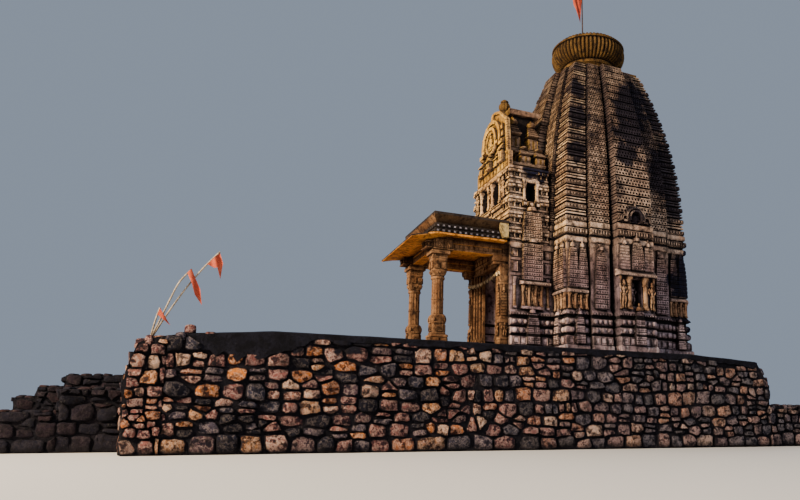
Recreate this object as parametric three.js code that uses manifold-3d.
// A stone temple with a curved spire on a rubble platform. Millimetres, +Z up.
// The origin is on the ground under the axis of the spire, and the entrance faces -Y.
import * as THREE from 'three';
import { mergeVertices } from 'three/addons/utils/BufferGeometryUtils.js';
import Module from 'manifold-3d';

const wasm = await Module();
wasm.setup();

// ---- driving dimensions ----
const GAP = 0.3; // clearance between neighbouring stones after a cut
const JOINT = 1; // clearance between the curved bands of the spire

// Platform of rubble masonry
const PLAT_HALF_W = 4050; // half width at the top
const PLAT_FRONT_Y = -12050;
const PLAT_REAR_Y = 3000;
const PLAT_TOP = 2330; // level of the platform's floor and of the wall tops at mid length
const PLAT_WALL = 650; // thickness of the rubble walls
const PLAT_BATTER = 70; // how far the wall foot stands out
const PLAT_END_DROP = 110; // the wall tops sag towards both ends
const PLAT_SAG = 2400; // length of that sag at each end
const WALL_FRONT = [ // worn front end of the near long wall, as [y, z] upwards
  [-12090, 0], [-12110, 600], [-12170, 1200], [-12070, 1690], [-11970, 2000], [-11680, 2120],
  [-11230, 2210], [-11040, 2230],
];
const WALL_REAR = [[2650, 2220], [2880, 1840], [3000, 1770]]; // its broken rear end, downwards
const FRONT_TOP = [[0, 2040], [150, 2130], [350, 2130], [450, 2220]]; // front walls, as [inwards, z]
const LEDGE = 2130; // the flat part of that profile, where the flag poles stand
const REMNANT_END_Y = 4700;
const REMNANT_TOP = 1070;

// Stair up to the platform
const STAIR_HALF_W = 1200;
const CHEEK_W = 600;
const STAIR_STEPS = 9;
const STAIR_TREAD = 330;
const CHEEK_NEAR = [[1340, 1250], [1000, 790]]; // [length, top] of each block, from the platform outwards
const CHEEK_FAR = [[1700, 1720], [520, 1430], [440, 1180]];

// Sanctum
const PLINTH_TOP = 2700; // floor inside, top of the lowest slab
const ROOM_HALF = 1100; // half width of the room
const CORNER_FACE = 2000; // outer face of the corner bands
const CORNER_INNER = 1380; // where a corner band ends along the wall
const RECESS_1 = 1850; // face of the recess beside the corner band
const MID_FACE = 2120; // outer face of the intermediate bands
const MID_OUTER = 1320;
const MID_INNER = 700;
const RECESS_2 = 1900; // face of the recess beside the central band
const BHADRA_FACE = 2380; // outer face of the central band
const BHADRA_HALF = 580;
const PLINTH_OUT = 130; // how far the lowest slab stands out
const MOULDINGS = [ // [bottom, top, how far it stands out] of each course of the base
  [2700, 2950, 90], [2950, 3010, 20], [3010, 3200, 70], [3200, 3240, 15],
  [3240, 3440, 60], [3440, 3530, 15], [3530, 3690, 50],
];
const WALL_BOTTOM = 3690;
const WALL_TOP = 5570;
const CORNICE = [ // [bottom, top, how far it stands out]
  [5570, 5740, 50], [5740, 5810, 10], [5810, 5980, 70], [5980, 6010, 20], [6010, 6180, 45],
];
const AWNING = [4130, 4270]; // hood over a niche, bottom and top
const AWNING_OUT = 120;
const BHADRA_AWNING = [4660, 4840];
const BHADRA_NICHE = { half: 190, bottom: 3820, top: 4620, deep: 320 };
const TURRET = [4270, 5480]; // miniature spire on the wall, bottom and top
const TURRET_OUT = 90;
const TURRET_TAPER = [0.86, 0.72]; // size at its top, outwards and along
const AWNING_TAPER = [0.7, 0.86];
const RELIEF_ROOT = 200; // how deep a relief is let into its wall
const BITE = 20; // how far a relief runs into the one below
const CENTRE_RELIEF = { hood: 640, half: 230, top: 5540, sideAt: 420, sideHalf: 130, sideTop: 5300 };
const MID_RELIEF_HALF = 230;
const CORNER_RELIEF = { hood: 330, half: 220 };
const SANCTUM_DOOR_HALF = 450;
const SANCTUM_DOOR_TOP = 4700;

// Curved spire
const SPIRE_BOTTOM = 6180;
const SPIRE_TOP = 11550;
const SPIRE_TOP_HALF = 1154;
const SPIRE_POWER = 2.1; // how late the curve bends inwards
const SPIRE_STEPS = 14;
const SHOULDER_TOP = 11640;
const NECK_R = 790;
const NECK_TOP = 12060;
const DISC_TOP = 12930; // ribbed disc
const DISC_R = 1190;
const DISC_RIBS = 56;
const RIB_DEPTH = 45;
const POLE_R = 20;
const POLE_Y = -190;
const POLE_TOP = 14950;
const FLAG_T = 12;

// Vestibule and the storeys over it
const VEST_HALF = 1300;
const VEST_ROOM_HALF = 600;
const VEST_FRONT_Y = -3400;
const VEST_NICHE = { // pillared niche on each outer wall, and its hood
  y: -2755, half: 335, out: 130, top: 4360, hoodY: -2685, hoodHalf: 465, hoodTop: 4500, hoodOut: 260,
};
const VEST_TURRET = { y: -2760, half: 300, out: 160, top: 6600, lift: 60 }; // relief tower above it
const DOOR_HALF = 450;
const DOOR_TOP = 4950;
const JAMB_OUT = 190; // how far the door frame stands in front of the wall
const JAMB_OUTER = 930;
const STOREY_1 = { half: 1300, front: -3400, bottom: 5570, top: 7800 };
const STOREY_2 = { half: 1060, front: -3200, bottom: 7800, top: 9000 };
const STOREY_3 = { half: 750, front: -3150, bottom: 9000, top: 9780 };
const BAND_OUT = 60; // how far the bands of the storeys stand out
const BAND_SHARE = 0.55; // share of each band's height that is recessed
const FINIAL = { half: 260, y0: -3150, y1: -2850, blockTop: 9950, beadHalf: 180, top: 10410, taper: 0.75 };
const GABLE_T = 130; // thickness of the horseshoe gable in front of the upper storeys
const GABLE_FOOT = STOREY_2.bottom + GAP;
const GABLE_NEAR = [ // edge of the gable from its foot to its top, as [x, z]
  [1180, GABLE_FOOT], [1180, 8280], [1060, 8300], [1040, 8730], [970, 9350], [490, 9740], [110, 9860]];
const GABLE_FAR = [ // the far edge has lost more stone
  [-1180, GABLE_FOOT], [-1180, 8280], [-960, 8300], [-960, 8450], [-830, 8500], [-800, 8810], [-720, 9200],
  [-700, 9430], [-450, 9520], [-150, 9640], [-90, 9860]];
const MEDALLION = { r: 400, z: 8950, out: 90 };
const STOREY_WINDOW = { y0: -2930, y1: -2620, bottom: 6780, top: 7320, deep: 350 };
const FRONT_WINDOW = { x0: 190, x1: 640, bottom: 6850, top: 7600, deep: 400 };

// Porch
const PORCH_FLOOR_TOP = 2620;
const PORCH_FLOOR_HALF = 1400;
const PORCH_FLOOR_FRONT = -5780;
const PILLAR_X = 1060;
const PILLAR_Y = -5380;
const SHAFT_R = 160;
const FOOT = { half: 230, height: 260 }; // square foot of a pillar, and the squared base on it
const BASE_HALF = 195;
const PILLAR_BASE_TOP = 3410;
const RING = { out: 25, low: 90, high: 30 }; // ring round the shaft, measured down from its top
const CAPITAL_OUT = 70;
const BRACKET = { reach: 390, half: 140 };
const PILASTER = { deep: 250, baseOut: 1200, shaftOut: 1180, headOut: 1230, inset: 30, bracket: 220 };
const SHAFT_TOP = 4450;
const CAPITAL_TOP = 4940;
const BRACKET_TOP = 5150;
const BEAM_TOP = 5480;
const BEAM_HALF = 150;
const CEILING_TOP = 5600;
const EAVE = { half: 1540, front: -6260, edge: 5350, inner: 5490, t: 90 }; // falls from inner to edge
const FRIEZE_TOP = 5880;
const ROOF = { half: 1377, front: -5613, edge: 6050, top: 6135 };
const ROOF_CORBEL = { outer: 1380, y0: -3760, y1: -3490, bottom: 5630 }; // block under the roof's rear end

const GARLAND_R = 6;
const GARLAND = [ // half of its cord, as [x, distance from the pilasters, z], to its lowest point
  [1080, GAP * 2, 4760], [1080, 22, 4758], [1010, 32, 4730], [600, 34, 4668], [0, 34, 4640]];

// Leaning flag poles on the front wall's ledge: X, then [y, z] of the bent pole and of its cloth
const CORNER_POLES = [
  { x: 3240, line: [[-11830, LEDGE], [-11590, 2640], [-11250, 3260], [-10950, 3710], [-10720, 4000]],
    cloth: [[-10940, 3720], [-10720, 3980], [-10650, 3770], [-10680, 3430], [-10750, 3670], [-10800, 3660]] },
  { x: 3300, line: [[-11830, LEDGE], [-11680, 2560], [-11540, 2960], [-11410, 3300], [-11280, 3490],
    [-11210, 3580]],
  cloth: [[-11285, 3500], [-11215, 3590], [-11030, 3190], [-10980, 2880], [-11120, 3070], [-11190, 3300]] },
  { x: 3360, line: [[-11830, LEDGE], [-11750, 2570], [-11700, 2760]],
    cloth: [[-11740, 2630], [-11700, 2750], [-11500, 2430]] },
];
const CORNER_POLE_R = 16;

const STONE = { roughness: 0.92, metalness: 0 };
const COLOURS = {
  rubble: 0x8a6a58, fill: 0x6d5a4a, plinth: 0x7d6353, wall: 0x96755c, wall_front: 0xa98259,
  spire: 0x93755e, band: 0xa07d62, disc: 0xa88452, porch: 0xa97c48, roof: 0x6a5148,
  flag: 0xb02418, bamboo: 0x9c8c66, iron: 0x5b5550,
};

// ---- helpers ----
const box = (x0, x1, y0, y1, z0, z1) =>
  new THREE.BoxGeometry(x1 - x0, y1 - y0, z1 - z0)
    .translate((x0 + x1) / 2, (y0 + y1) / 2, (z0 + z1) / 2);

const prism = (points, z0, z1, steps = 1) => {
  const shape = new THREE.Shape(points.map(([x, y]) => new THREE.Vector2(x, y)));
  return new THREE.ExtrudeGeometry(shape, { depth: z1 - z0, steps, bevelEnabled: false })
    .translate(0, 0, z0);
};

// Moves every vertex; fn takes and returns [x, y, z].
const reshape = (geometry, fn) => {
  const at = geometry.attributes.position;
  for (let i = 0; i < at.count; i++) at.setXYZ(i, ...fn(at.getX(i), at.getY(i), at.getZ(i)));
  return geometry;
};

// A box whose top is narrower than its foot, by share sx and sy about its own middle.
const taper = (x0, x1, y0, y1, z0, z1, sx, sy) => {
  const [cx, cy] = [(x0 + x1) / 2, (y0 + y1) / 2];
  return reshape(box(x0, x1, y0, y1, z0, z1), (x, y, z) =>
    (z > (z0 + z1) / 2 ? [cx + (x - cx) * sx, cy + (y - cy) * sy, z] : [x, y, z]));
};

const weld = (geometry) => {
  const plain = geometry.clone();
  plain.deleteAttribute('normal');
  if (plain.attributes.uv) plain.deleteAttribute('uv');
  return mergeVertices(plain, 1e-3);
};

const solid = (geometry) => {
  const merged = weld(geometry);
  return new wasm.Manifold(new wasm.Mesh({
    numProp: 3,
    vertProperties: new Float32Array(merged.attributes.position.array),
    triVerts: new Uint32Array(merged.index.array),
  }));
};

const join = (geometries) => geometries.map(solid).reduce((a, b) => a.add(b));
const cut = (body, geometries) => geometries.map(solid).reduce((a, b) => a.subtract(b), body);

const shell = (body) => {
  const mesh = body.getMesh();
  const geometry = new THREE.BufferGeometry();
  geometry.setAttribute('position', new THREE.BufferAttribute(new Float32Array(mesh.vertProperties), 3));
  geometry.setIndex(new THREE.BufferAttribute(new Uint32Array(mesh.triVerts), 1));
  geometry.computeVertexNormals();
  return geometry;
};

const mirrored = (geometry) => {
  const flipped = reshape(weld(geometry), (x, y, z) => [-x, y, z]);
  const index = flipped.index.array;
  for (let i = 0; i < index.length; i += 3) [index[i], index[i + 1]] = [index[i + 1], index[i]];
  flipped.computeVertexNormals();
  return flipped;
};

const temple = new THREE.Group();
const add = (name, geometry, colour, finish = STONE) => {
  const material = new THREE.MeshStandardMaterial({ color: COLOURS[colour], ...finish });
  const mesh = new THREE.Mesh(geometry, material);
  mesh.name = name;
  temple.add(mesh);
  return mesh;
};
const addPair = (name, geometry, colour) => {
  add(`${name}_near`, geometry, colour);
  add(`${name}_far`, mirrored(geometry), colour);
};

// ---- platform ----
const inner = PLAT_HALF_W - PLAT_WALL;
const fillFront = PLAT_FRONT_Y + PLAT_WALL;
const endTop = PLAT_TOP - PLAT_END_DROP;

// A solid across the platform from its outline in Y and Z. Y, Z and the depth X keep the faces outwards.
const across = (outline, x0, x1) => reshape(prism(outline, x0, x1), (y, z, x) => [x, y, z]);

// A long wall's top sags towards the ends, and its foot stands out.
const longWall = (front, back) => {
  const outline = [...front, [PLAT_FRONT_Y + PLAT_SAG, PLAT_TOP], [PLAT_REAR_Y - PLAT_SAG, PLAT_TOP],
    ...back, [PLAT_REAR_Y, 0]];
  return reshape(across(outline, inner, PLAT_HALF_W), (x, y, z) => [
    x > inner + 1 ? x + PLAT_BATTER * (1 - z / PLAT_TOP) : x, y, z]);
};
add('platform_fill', across([[fillFront, 0], [fillFront, endTop], [PLAT_FRONT_Y + PLAT_SAG, PLAT_TOP],
  [PLAT_REAR_Y - PLAT_WALL, PLAT_TOP], [PLAT_REAR_Y - PLAT_WALL, 0]], -inner, inner), 'fill');
add('platform_wall_near', longWall(WALL_FRONT, WALL_REAR), 'rubble');
add('platform_wall_far', mirrored(longWall([[PLAT_FRONT_Y, 0], [PLAT_FRONT_Y, endTop]],
  [[PLAT_REAR_Y, endTop]])), 'rubble');
add('platform_wall_rear', box(-inner, inner, PLAT_REAR_Y - PLAT_WALL, PLAT_REAR_Y, 0, PLAT_TOP), 'rubble');
const frontOutline = [[PLAT_FRONT_Y, 0], ...FRONT_TOP.map(([y, z]) => [PLAT_FRONT_Y + y, z]),
  [fillFront, endTop], [fillFront, 0]];
addPair('platform_wall_front', across(frontOutline, STAIR_HALF_W, inner), 'rubble');
add('low_rear_wall', box(PLAT_HALF_W - PLAT_WALL, PLAT_HALF_W, PLAT_REAR_Y, REMNANT_END_Y, 0, REMNANT_TOP),
  'rubble');

// ---- stair ----
const rise = PLAT_TOP / (STAIR_STEPS + 1);
const stairProfile = [[fillFront, 0], [fillFront, STAIR_STEPS * rise]];
for (let i = STAIR_STEPS; i > 0; i--) {
  const y = fillFront - (STAIR_STEPS - i + 1) * STAIR_TREAD;
  stairProfile.push([y, i * rise], [y, (i - 1) * rise]);
}
add('front_steps', across([...stairProfile].reverse(), -STAIR_HALF_W, STAIR_HALF_W), 'rubble');
const cheek = (blocks) => {
  let y = PLAT_FRONT_Y;
  return shell(join(blocks.map(([length, top]) => {
    y -= length;
    return box(STAIR_HALF_W, STAIR_HALF_W + CHEEK_W, y, y + length, 0, top);
  })));
};
add('stair_cheek_near', cheek(CHEEK_NEAR), 'rubble');
add('stair_cheek_far', mirrored(cheek(CHEEK_FAR)), 'rubble');

// ---- sanctum ----
// Half outline of one side from the wall's middle to its corner, as [outwards, along], e further out.
const sideHalf = (e) => [
  [BHADRA_FACE + e, BHADRA_HALF + e / 5], [RECESS_2 + e, BHADRA_HALF + e / 5],
  [RECESS_2 + e, MID_INNER - e / 8], [MID_FACE + e, MID_INNER - e / 8],
  [MID_FACE + e, MID_OUTER], [RECESS_1 + e, MID_OUTER], [RECESS_1 + e, CORNER_INNER],
];
const cornerPoint = (e) => [CORNER_FACE + e, CORNER_FACE + e];
const flip = (points) => points.map(([v, u]) => [v, -u]).reverse();

const turned = (points, quarter) => {
  const c = Math.round(Math.cos(quarter * Math.PI / 2));
  const s = Math.round(Math.sin(quarter * Math.PI / 2));
  return points.map(([x, y]) => [c * x - s * y, s * x + c * y]);
};

// Plan of the whole sanctum as one closed outline. The front side is the last of the four.
const wholePlan = (e, frontHalf) => {
  const half = [...sideHalf(e), [CORNER_FACE + e, CORNER_INNER]];
  return [0, 1, 2, 3].flatMap((quarter) => {
    const own = quarter === 3 && frontHalf ? frontHalf : half;
    return turned([...flip(own), ...own, cornerPoint(e)], quarter);
  });
};

// Plan of a side wall with both corner bands.
const sidePlan = (e) => {
  const half = [...sideHalf(e), [CORNER_FACE + e, CORNER_INNER], cornerPoint(e),
    [CORNER_INNER, CORNER_FACE + e], [CORNER_INNER, RECESS_1 + e], [ROOM_HALF, RECESS_1 + e]];
  return [...flip(half), ...half];
};
// Plan of the rear wall, between the side walls.
const rearPlan = (e) => {
  const half = [...sideHalf(e).slice(0, 5), [RECESS_1 + e + GAP, MID_OUTER],
    [RECESS_1 + e + GAP, ROOM_HALF - GAP], [ROOM_HALF, ROOM_HALF - GAP]];
  return [...flip(half), ...half];
};

const turret = (face, u, halfWidth, top = TURRET[1], bottom = TURRET[0], out = TURRET_OUT) =>
  taper(face - RELIEF_ROOT, face + out, u - halfWidth, u + halfWidth, bottom, top, ...TURRET_TAPER);
const awning = (face, u, halfWidth, [z0, z1], out) =>
  taper(face - RELIEF_ROOT, face + out, u - halfWidth, u + halfWidth, z0, z1, ...AWNING_TAPER);

const reliefs = (corners) => {
  const list = [
    awning(BHADRA_FACE, 0, CENTRE_RELIEF.hood, BHADRA_AWNING, AWNING_OUT),
    turret(BHADRA_FACE, 0, CENTRE_RELIEF.half, CENTRE_RELIEF.top, BHADRA_AWNING[1] - BITE),
  ];
  const midU = (MID_INNER + MID_OUTER) / 2;
  const cornerU = (CORNER_INNER + CORNER_FACE) / 2;
  for (const sign of [-1, 1]) {
    list.push(turret(BHADRA_FACE, sign * CENTRE_RELIEF.sideAt, CENTRE_RELIEF.sideHalf,
      CENTRE_RELIEF.sideTop, BHADRA_AWNING[1] - BITE));
    list.push(turret(MID_FACE, sign * midU, MID_RELIEF_HALF, TURRET[1], WALL_BOTTOM));
    if (corners) {
      const onCorner = () => [
        awning(CORNER_FACE, sign * cornerU, CORNER_RELIEF.hood, AWNING, AWNING_OUT),
        turret(CORNER_FACE, sign * cornerU, CORNER_RELIEF.half)];
      list.push(...onCorner(), ...onCorner().map((one) => one.rotateZ(sign * Math.PI / 2)
        .translate(2 * cornerU, 0, 0)));
    }
  }
  return list;
};
const niche = box(BHADRA_FACE - BHADRA_NICHE.deep, BHADRA_FACE + 200, -BHADRA_NICHE.half,
  BHADRA_NICHE.half, BHADRA_NICHE.bottom, BHADRA_NICHE.top);

const courses = [...MOULDINGS, [WALL_BOTTOM, WALL_TOP, 0]];
const sideWall = (plan, corners) => shell(cut(
  join([...courses.map(([z0, z1, e]) => prism(plan(e), z0, z1)), ...reliefs(corners)]), [niche]));

const vestPlinthX = VEST_HALF + PLINTH_OUT;
const vestPlinth = [[-VEST_FRONT_Y, vestPlinthX], [CORNER_FACE + PLINTH_OUT, vestPlinthX]];
add('temple_plinth', prism(wholePlan(PLINTH_OUT, vestPlinth), PLAT_TOP, PLINTH_TOP), 'plinth');
addPair('sanctum_wall', sideWall(sidePlan, true), 'wall');
add('sanctum_wall_rear', sideWall(rearPlan, false).rotateZ(Math.PI / 2), 'wall');

// Front wall beside the inner doorway, and its lintel.
addPair('sanctum_wall_front', box(SANCTUM_DOOR_HALF, ROOM_HALF - GAP, -RECESS_1, -ROOM_HALF, PLINTH_TOP,
  WALL_TOP), 'wall_front');
add('sanctum_lintel', box(-SANCTUM_DOOR_HALF, SANCTUM_DOOR_HALF, -RECESS_1, -ROOM_HALF, SANCTUM_DOOR_TOP,
  WALL_TOP), 'wall_front');

// The cornice is a stack of slabs that also roofs the room. It stops at the storeys over the vestibule.
const storeyBack = -CORNER_FACE - 200;
const corniceCut = box(-VEST_HALF - 400, VEST_HALF + 400, -3600, storeyBack + GAP, WALL_TOP - 10,
  SPIRE_BOTTOM + 10);
add('cornice', shell(cut(join(CORNICE.map(([z0, z1, e]) => prism(wholePlan(e), z0, z1))), [corniceCut])),
  'wall');

// ---- spire ----
const spireScale = (z) => {
  const t = Math.max(0, (z - SPIRE_BOTTOM) / (SPIRE_TOP - SPIRE_BOTTOM));
  return 1 - (1 - SPIRE_TOP_HALF / CORNER_FACE) * t ** SPIRE_POWER;
};
const curved = (points) =>
  reshape(prism(points, SPIRE_BOTTOM, SPIRE_TOP, SPIRE_STEPS), (x, y, z) => [
    x * spireScale(z), y * spireScale(z), z]);

// The core with its intermediate bands leaves out the four corners and the four central bands.
const coreSide = [
  [RECESS_2, -MID_INNER], [RECESS_2, MID_INNER], [MID_FACE, MID_INNER], [MID_FACE, MID_OUTER],
  [RECESS_1, MID_OUTER], [RECESS_1, CORNER_INNER], [CORNER_INNER, CORNER_INNER],
  [CORNER_INNER, RECESS_1], [MID_OUTER, RECESS_1], [MID_OUTER, MID_FACE], [MID_INNER, MID_FACE],
];
const corePlan = [0, 1, 2, 3].flatMap((quarter) => turned(coreSide, quarter));
add('spire_core', curved(corePlan), 'spire');

const cornerPlan = (sx, sy) => [
  [CORNER_INNER + JOINT, CORNER_INNER + JOINT], [CORNER_FACE, CORNER_INNER + JOINT],
  [CORNER_FACE, CORNER_FACE], [CORNER_INNER + JOINT, CORNER_FACE],
].map(([x, y]) => [x * sx, y * sy]);
add('spire_corner_front_near', curved(cornerPlan(1, -1)), 'band');
add('spire_corner_rear_near', curved(cornerPlan(1, 1)), 'band');
add('spire_corner_front_far', curved(cornerPlan(-1, -1)), 'band');
add('spire_corner_rear_far', curved(cornerPlan(-1, 1)), 'band');

const centralPlan = [
  [RECESS_2 + JOINT, -BHADRA_HALF], [BHADRA_FACE, -BHADRA_HALF], [BHADRA_FACE, BHADRA_HALF],
  [RECESS_2 + JOINT, BHADRA_HALF],
];
add('spire_centre_near', curved(centralPlan), 'band');
add('spire_centre_rear', curved(turned(centralPlan, 1)), 'band');
add('spire_centre_far', curved(turned(centralPlan, 2)), 'band');
const centreFront = curved(turned(centralPlan, 3));
add('spire_centre_front', shell(cut(solid(centreFront), [
  box(-VEST_HALF, VEST_HALF, -RECESS_2 - BHADRA_FACE, storeyBack + GAP, SPIRE_BOTTOM - 10, SPIRE_TOP),
])), 'band');

const shoulder = box(-SPIRE_TOP_HALF + 40, SPIRE_TOP_HALF - 40, -SPIRE_TOP_HALF + 40, SPIRE_TOP_HALF - 40,
  SPIRE_TOP, SHOULDER_TOP);
const lathe = (profile, segments) =>
  new THREE.LatheGeometry(profile.map(([r, z]) => new THREE.Vector2(r, z)), segments)
    .rotateX(Math.PI / 2);
const neck = lathe([[0, SPIRE_TOP + 20], [NECK_R, SPIRE_TOP + 20], [NECK_R, NECK_TOP - 110],
  [NECK_R + 60, NECK_TOP - 90], [NECK_R + 60, NECK_TOP], [0, NECK_TOP]], 48);
add('spire_neck', shell(join([shoulder, neck])), 'spire');

// The ribbed disc: a bulging profile whose radius swings with the ribs.
const discH = DISC_TOP - NECK_TOP;
const discProfile = [[0, 0], [0.74, 0], [0.82, 0.07], [0.94, 0.27], [1, 0.52], [0.98, 0.68], [0.94, 0.76],
  [0.78, 0.92], [0.6, 1], [0, 1]].map(([r, z]) => [r * DISC_R, NECK_TOP + z * discH]);
add('ribbed_disc', reshape(lathe(discProfile, DISC_RIBS * 2), (x, y, z) => {
  const r = Math.hypot(x, y);
  if (r < DISC_R * 0.5) return [x, y, z];
  const swing = 1 - RIB_DEPTH * (0.5 - 0.5 * Math.cos(DISC_RIBS * Math.atan2(y, x))) / r;
  return [x * swing, y * swing, z];
}), 'disc');

const rod = (from, to, r, sides = 10) => {
  const [a, b] = [new THREE.Vector3(...from), new THREE.Vector3(...to)];
  const along = b.clone().sub(a);
  const turn = new THREE.Quaternion().setFromUnitVectors(new THREE.Vector3(0, 1, 0),
    along.clone().normalize());
  return new THREE.CylinderGeometry(r, r, along.length(), sides).applyQuaternion(turn)
    .translate(...a.add(b).multiplyScalar(0.5).toArray());
};
const plate = (outline, x) => reshape(prism(outline, x, x + FLAG_T), (y, z, depth) => [depth, y, z]);
const METAL = { roughness: 0.6, metalness: 0.6 };
const CLOTH = { roughness: 0.85, metalness: 0 };
const WOOD = { roughness: 0.7, metalness: 0 };
add('flag_pole', rod([0, POLE_Y, DISC_TOP + GAP], [0, POLE_Y, POLE_TOP], POLE_R), 'iron', METAL);
const flagY = POLE_Y - POLE_R - GAP;
add('top_flag', plate([[flagY, POLE_TOP - 60], [flagY, POLE_TOP - 420], [flagY - 60, DISC_TOP + 780],
  [flagY - 300, DISC_TOP + 1420], [flagY - 390, POLE_TOP - 240]], -FLAG_T / 2), 'flag', CLOTH);

// ---- vestibule ----
const vestWall = join([
  ...courses.flatMap(([z0, z1, e]) => [
    box(VEST_ROOM_HALF, ROOM_HALF, VEST_FRONT_Y, -RECESS_1 - GAP, z0, z1),
    box(ROOM_HALF - 10, VEST_HALF, VEST_FRONT_Y, -RECESS_1 - e - GAP, z0, z1),
    ...(e ? [box(VEST_HALF - 10, VEST_HALF + e, VEST_FRONT_Y, -CORNER_FACE - e - GAP, z0, z1)] : []),
  ]),
  box(VEST_HALF - RELIEF_ROOT, VEST_HALF + VEST_NICHE.out, VEST_NICHE.y - VEST_NICHE.half,
    VEST_NICHE.y + VEST_NICHE.half, WALL_BOTTOM, VEST_NICHE.top),
  awning(VEST_HALF, VEST_NICHE.hoodY, VEST_NICHE.hoodHalf, [VEST_NICHE.top, VEST_NICHE.hoodTop],
    VEST_NICHE.hoodOut),
  turret(VEST_HALF, VEST_TURRET.y, VEST_TURRET.half, WALL_TOP, VEST_NICHE.hoodTop - BITE, VEST_TURRET.out),
]);
addPair('vestibule_wall', shell(vestWall), 'wall');

const jamb = box(DOOR_HALF, JAMB_OUTER, VEST_FRONT_Y - JAMB_OUT, VEST_FRONT_Y, PORCH_FLOOR_TOP, DOOR_TOP);
addPair('door_jamb', jamb, 'porch');
const beamOuter = PILLAR_X + BEAM_HALF;
const lintelY = [VEST_FRONT_Y - JAMB_OUT, VEST_FRONT_Y];
add('door_lintel', shell(join([
  box(-JAMB_OUTER, JAMB_OUTER, ...lintelY, DOOR_TOP, BRACKET_TOP + 10),
  box(-beamOuter, beamOuter, ...lintelY, BRACKET_TOP, WALL_TOP),
])), 'porch');

// A storey with count bands, each over a slightly taller recess.
const storey = ({ half, front, bottom, top }, count) => {
  const back = storeyBack;
  const step = (top - bottom) / count;
  const list = [box(-half, half, front, back, bottom, top)];
  for (let i = 0; i < count; i++) {
    const z = bottom + i * step;
    list.push(box(-half - BAND_OUT, half + BAND_OUT, front - BAND_OUT, back, z + step * BAND_SHARE, z + step));
  }
  return list;
};
const windows = [];
for (const sign of [-1, 1]) {
  const [a, b] = [FRONT_WINDOW.x0 * sign, FRONT_WINDOW.x1 * sign].sort((m, n) => m - n);
  windows.push(box(a, b, STOREY_1.front - 200, STOREY_1.front + FRONT_WINDOW.deep, FRONT_WINDOW.bottom,
    FRONT_WINDOW.top));
  const [c, d] = sign > 0 ? [STOREY_1.half - STOREY_WINDOW.deep, STOREY_1.half + 200]
    : [-STOREY_1.half - 200, -STOREY_1.half + STOREY_WINDOW.deep];
  windows.push(box(c, d, STOREY_WINDOW.y0, STOREY_WINDOW.y1, STOREY_WINDOW.bottom, STOREY_WINDOW.top));
}
const sideTurrets = [-1, 1].flatMap((sign) => {
  const one = turret(STOREY_1.half, VEST_TURRET.y, VEST_TURRET.half, VEST_TURRET.top,
    STOREY_1.bottom + VEST_TURRET.lift, VEST_TURRET.out);
  return [sign > 0 ? one : mirrored(one)];
});
add('front_storey_1', shell(cut(join([...storey(STOREY_1, 5), ...sideTurrets]), windows)),
  'wall_front');
add('front_storey_2', shell(join(storey(STOREY_2, 3))), 'wall_front');
const finial = [
  box(-FINIAL.half, FINIAL.half, FINIAL.y0, FINIAL.y1, STOREY_3.top - BITE, FINIAL.blockTop),
  taper(-FINIAL.beadHalf, FINIAL.beadHalf, FINIAL.y0, FINIAL.y1, FINIAL.blockTop - BITE, FINIAL.top,
    FINIAL.taper, FINIAL.taper),
];
add('front_storey_3', shell(join([...storey(STOREY_3, 2), ...finial])), 'wall_front');
const gableBack = STOREY_2.front - BAND_OUT - GAP;
const gableOutline = [...GABLE_NEAR, ...[...GABLE_FAR].reverse()];
add('front_gable', prism(gableOutline, 0, GABLE_T).rotateX(Math.PI / 2).translate(0, gableBack, 0),
  'wall_front');
const medallion = new THREE.CylinderGeometry(MEDALLION.r, MEDALLION.r, MEDALLION.out, 32)
  .translate(0, gableBack - GABLE_T - MEDALLION.out / 2 - GAP, MEDALLION.z);
add('front_medallion', medallion, 'wall_front');

// ---- porch ----
add('porch_floor', box(-PORCH_FLOOR_HALF, PORCH_FLOOR_HALF, PORCH_FLOOR_FRONT, VEST_FRONT_Y, PLAT_TOP,
  PORCH_FLOOR_TOP), 'plinth');
const column = (x, y, floor) => {
  const at = (r, z0, z1, sides, r2 = r) => new THREE.CylinderGeometry(r2, r, z1 - z0, sides)
    .rotateX(Math.PI / 2).translate(x, y, (z0 + z1) / 2);
  const square = (a, b, z0, z1) => box(x - a, x + a, y - b, y + b, z0, z1);
  return [
    square(FOOT.half, FOOT.half, floor, floor + FOOT.height),
    square(BASE_HALF, BASE_HALF, floor + FOOT.height - BITE, PILLAR_BASE_TOP),
    at(SHAFT_R, PILLAR_BASE_TOP - BITE, SHAFT_TOP, 16),
    at(SHAFT_R + RING.out, SHAFT_TOP - RING.low, SHAFT_TOP - RING.high, 16),
    at(SHAFT_R, SHAFT_TOP - BITE, CAPITAL_TOP, 8, SHAFT_R + CAPITAL_OUT),
    square(BRACKET.reach, BRACKET.half, CAPITAL_TOP - BITE, BRACKET_TOP),
    square(BRACKET.half, BRACKET.reach, CAPITAL_TOP - BITE, BRACKET_TOP),
  ];
};
addPair('porch_pillar', shell(join(column(PILLAR_X, PILLAR_Y, PORCH_FLOOR_TOP))), 'porch');
const pilasterFront = VEST_FRONT_Y - PILASTER.deep;
const pilasterInner = JAMB_OUTER + 2;
addPair('porch_pilaster', shell(join([
  box(pilasterInner, PILASTER.baseOut, pilasterFront, VEST_FRONT_Y, PORCH_FLOOR_TOP, PILLAR_BASE_TOP),
  box(pilasterInner + BITE, PILASTER.shaftOut, pilasterFront + PILASTER.inset, VEST_FRONT_Y,
    PILLAR_BASE_TOP - BITE, SHAFT_TOP),
  box(pilasterInner, PILASTER.headOut, pilasterFront, VEST_FRONT_Y, SHAFT_TOP - BITE, CAPITAL_TOP),
  box(pilasterInner, PILASTER.headOut, pilasterFront - PILASTER.bracket, VEST_FRONT_Y,
    CAPITAL_TOP - BITE, BRACKET_TOP),
])), 'porch');

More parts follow.
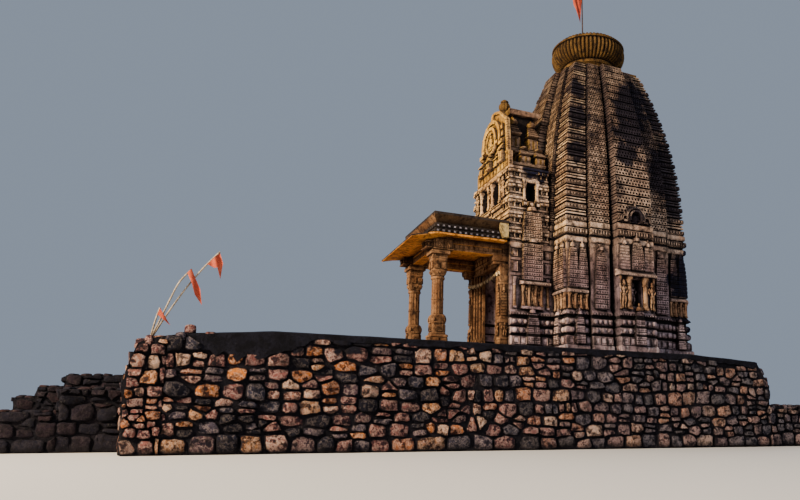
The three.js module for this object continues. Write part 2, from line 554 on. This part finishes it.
// Beams on the pillars, and the ceiling slab over them.
const [bi, bo] = [PILLAR_X - BEAM_HALF, beamOuter];
const frameBack = VEST_FRONT_Y - JAMB_OUT - 2;
add('porch_ceiling', shell(join([
  box(-bo, bo, PILLAR_Y - BEAM_HALF, PILLAR_Y + BEAM_HALF, BRACKET_TOP, BEAM_TOP),
  box(bi, bo, PILLAR_Y, frameBack, BRACKET_TOP, BEAM_TOP),
  box(-bo, -bi, PILLAR_Y, frameBack, BRACKET_TOP, BEAM_TOP),
  box(-bo, bo, PILLAR_Y - BEAM_HALF, frameBack, BEAM_TOP - 10, CEILING_TOP),
])), 'porch');

// Sloping eave on three sides: a low pyramid with the same form, lower down, taken out of it.
const eaveBlock = (drop) => {
  const [y0, y1] = [EAVE.front, frameBack];
  return reshape(box(-EAVE.half, EAVE.half, y0, y1, EAVE.edge, EAVE.inner), (x, y, z) => {
    const up = z > (EAVE.edge + EAVE.inner) / 2;
    return [up ? Math.sign(x) * bo : x, up && y < (y0 + y1) / 2 ? PILLAR_Y - BEAM_HALF : y,
      z - drop];
  });
};
const eaveHole = box(-bo - GAP, bo + GAP, PILLAR_Y - BEAM_HALF - GAP, frameBack + 100, EAVE.edge - 300,
  CEILING_TOP + 100);
const eaveUnder = reshape(eaveBlock(EAVE.t), (x, y, z) => [x, y > frameBack - 1 ? y + 100 : y, z]);
add('porch_eave', shell(cut(solid(eaveBlock(0)), [eaveUnder, eaveHole])), 'roof');
const friezeBack = VEST_FRONT_Y - 62;
add('porch_frieze', box(-bo, bo, PILLAR_Y - BEAM_HALF, friezeBack, CEILING_TOP, FRIEZE_TOP), 'roof');
const roofUnder = reshape(box(-ROOF.half, ROOF.half, ROOF.front, friezeBack, FRIEZE_TOP, ROOF.edge + 10),
  (x, y, z) => {
    const low = z < (FRIEZE_TOP + ROOF.edge) / 2;
    return [low ? Math.sign(x) * (bo - 60) : x, low && y < -4000 ? PILLAR_Y - BEAM_HALF + 60 : y, z];
  });
const corbel = [bo + GAP, ROOF_CORBEL.outer, ROOF_CORBEL.y0, ROOF_CORBEL.y1, ROOF_CORBEL.bottom,
  ROOF.edge];
add('porch_roof', shell(join([roofUnder, box(...corbel), mirrored(box(...corbel)),
  box(-ROOF.half, ROOF.half, ROOF.front, friezeBack, ROOF.edge, ROOF.top)])), 'roof');

// A string of dried leaves hangs between the heads of the pilasters. Only its cord is solid here.
const garlandHalf = GARLAND.map(([x, out, z]) => [x, pilasterFront - out, z]);
const garlandPath = [...garlandHalf, ...garlandHalf.slice(0, -1).reverse().map(([x, y, z]) => [-x, y, z])]
  .map((point) => new THREE.Vector3(...point));
const round = (r, sides) => new THREE.Shape(Array.from({ length: sides }, (_, k) => new THREE.Vector2(
  r * Math.cos(2 * Math.PI * k / sides), r * Math.sin(2 * Math.PI * k / sides))));
add('garland', new THREE.ExtrudeGeometry(round(GARLAND_R, 8), {
  extrudePath: new THREE.CatmullRomCurve3(garlandPath), steps: 40, bevelEnabled: false }), 'bamboo', CLOTH);

// ---- leaning poles with flags at the broken corner ----
CORNER_POLES.forEach(({ x, line, cloth }, i) => {
  const points = line.map(([y, z]) => new THREE.Vector3(x, y, z));
  const curve = new THREE.CatmullRomCurve3(points);
  const lean = Math.abs(curve.getTangent(0).y);
  points[0].z += CORNER_POLE_R * lean + GAP;
  const pole = new THREE.ExtrudeGeometry(round(CORNER_POLE_R, 12), {
    extrudePath: new THREE.CatmullRomCurve3(points), steps: 16, bevelEnabled: false });
  add(`corner_pole_${i + 1}`, pole, 'bamboo', WOOD);
  add(`corner_flag_${i + 1}`, plate(cloth, x + CORNER_POLE_R + GAP), 'flag', CLOTH);
});

export default temple;
